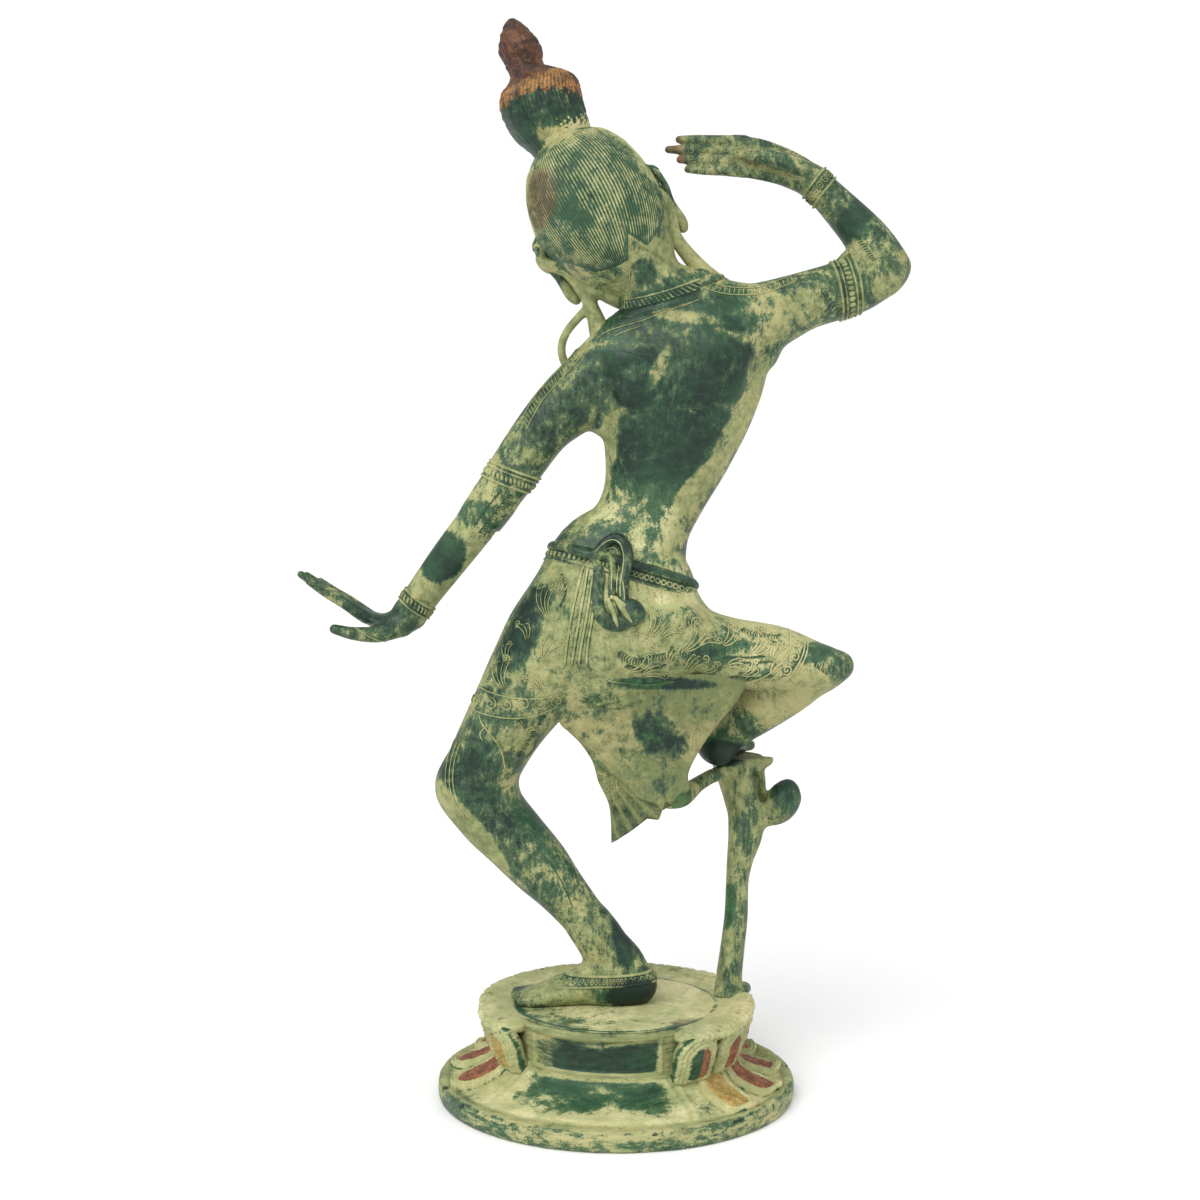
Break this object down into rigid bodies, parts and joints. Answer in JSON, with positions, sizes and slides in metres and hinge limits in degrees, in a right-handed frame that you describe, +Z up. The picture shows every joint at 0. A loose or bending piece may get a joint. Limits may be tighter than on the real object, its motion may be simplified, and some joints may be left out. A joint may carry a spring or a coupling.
{
  "type": "dancing tara figure",
  "caption": "Cast figure dancing on one bent leg on a round lotus plinth, the raised foot on a lotus pod, one arm lowered and one hand held over the head.",
  "frame": {"origin": "centre of the round plinth's flat underside", "axes": "+Z up; the figure faces -Y, turned 12 degrees about Z; +Y is the side of the plinth with the plain panel, behind the figure"},
  "size_m": [0.3398, 0.2009, 0.6],
  "materials": {
    "plinth": "bronze casting, dark green patina under a pale cream wash, dull",
    "figure": "bronze casting, dark green patina with cream wash in the hollows, satin to dull",
    "lotus_stem": "bronze casting, green patina with cream wash, dull"
  },
  "bodies": {
    "root": {"plinth": "plinth", "figure": "figure", "lotus_stem": "lotus_stem"}
  },
  "joints": []
}
